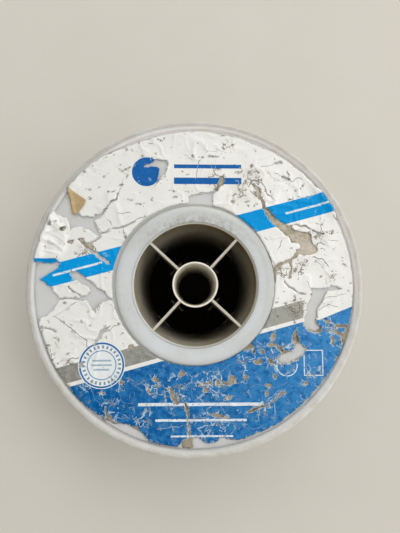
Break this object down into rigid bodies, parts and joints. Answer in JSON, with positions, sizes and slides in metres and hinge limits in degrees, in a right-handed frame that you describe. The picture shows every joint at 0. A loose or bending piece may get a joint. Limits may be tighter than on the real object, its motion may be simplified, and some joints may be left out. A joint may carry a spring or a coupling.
{
  "type": "wire spool",
  "caption": "Plastic wire spool with rimmed flanges, a raised collar round an open ribbed hub with a central arbor tube, and a worn printed label.",
  "frame": {"origin": "centre of the spool's lower face, on its axis, with the far flange down", "axes": "+Z along the spool's axis, out of the labelled face; +X to the right and +Y up on the label"},
  "size_m": [0.2, 0.2, 0.09],
  "materials": {
    "moulding": "satin",
    "label": "matte"
  },
  "bodies": {
    "root": {"near_flange": "moulding", "far_flange": "moulding", "winding_drum": "moulding", "near_sleeve": "moulding", "near_ribs": "moulding", "near_arbor_tube": "moulding", "far_sleeve": "moulding", "far_ribs": "moulding", "far_arbor_tube": "moulding", "face_label": "label"}
  },
  "joints": []
}
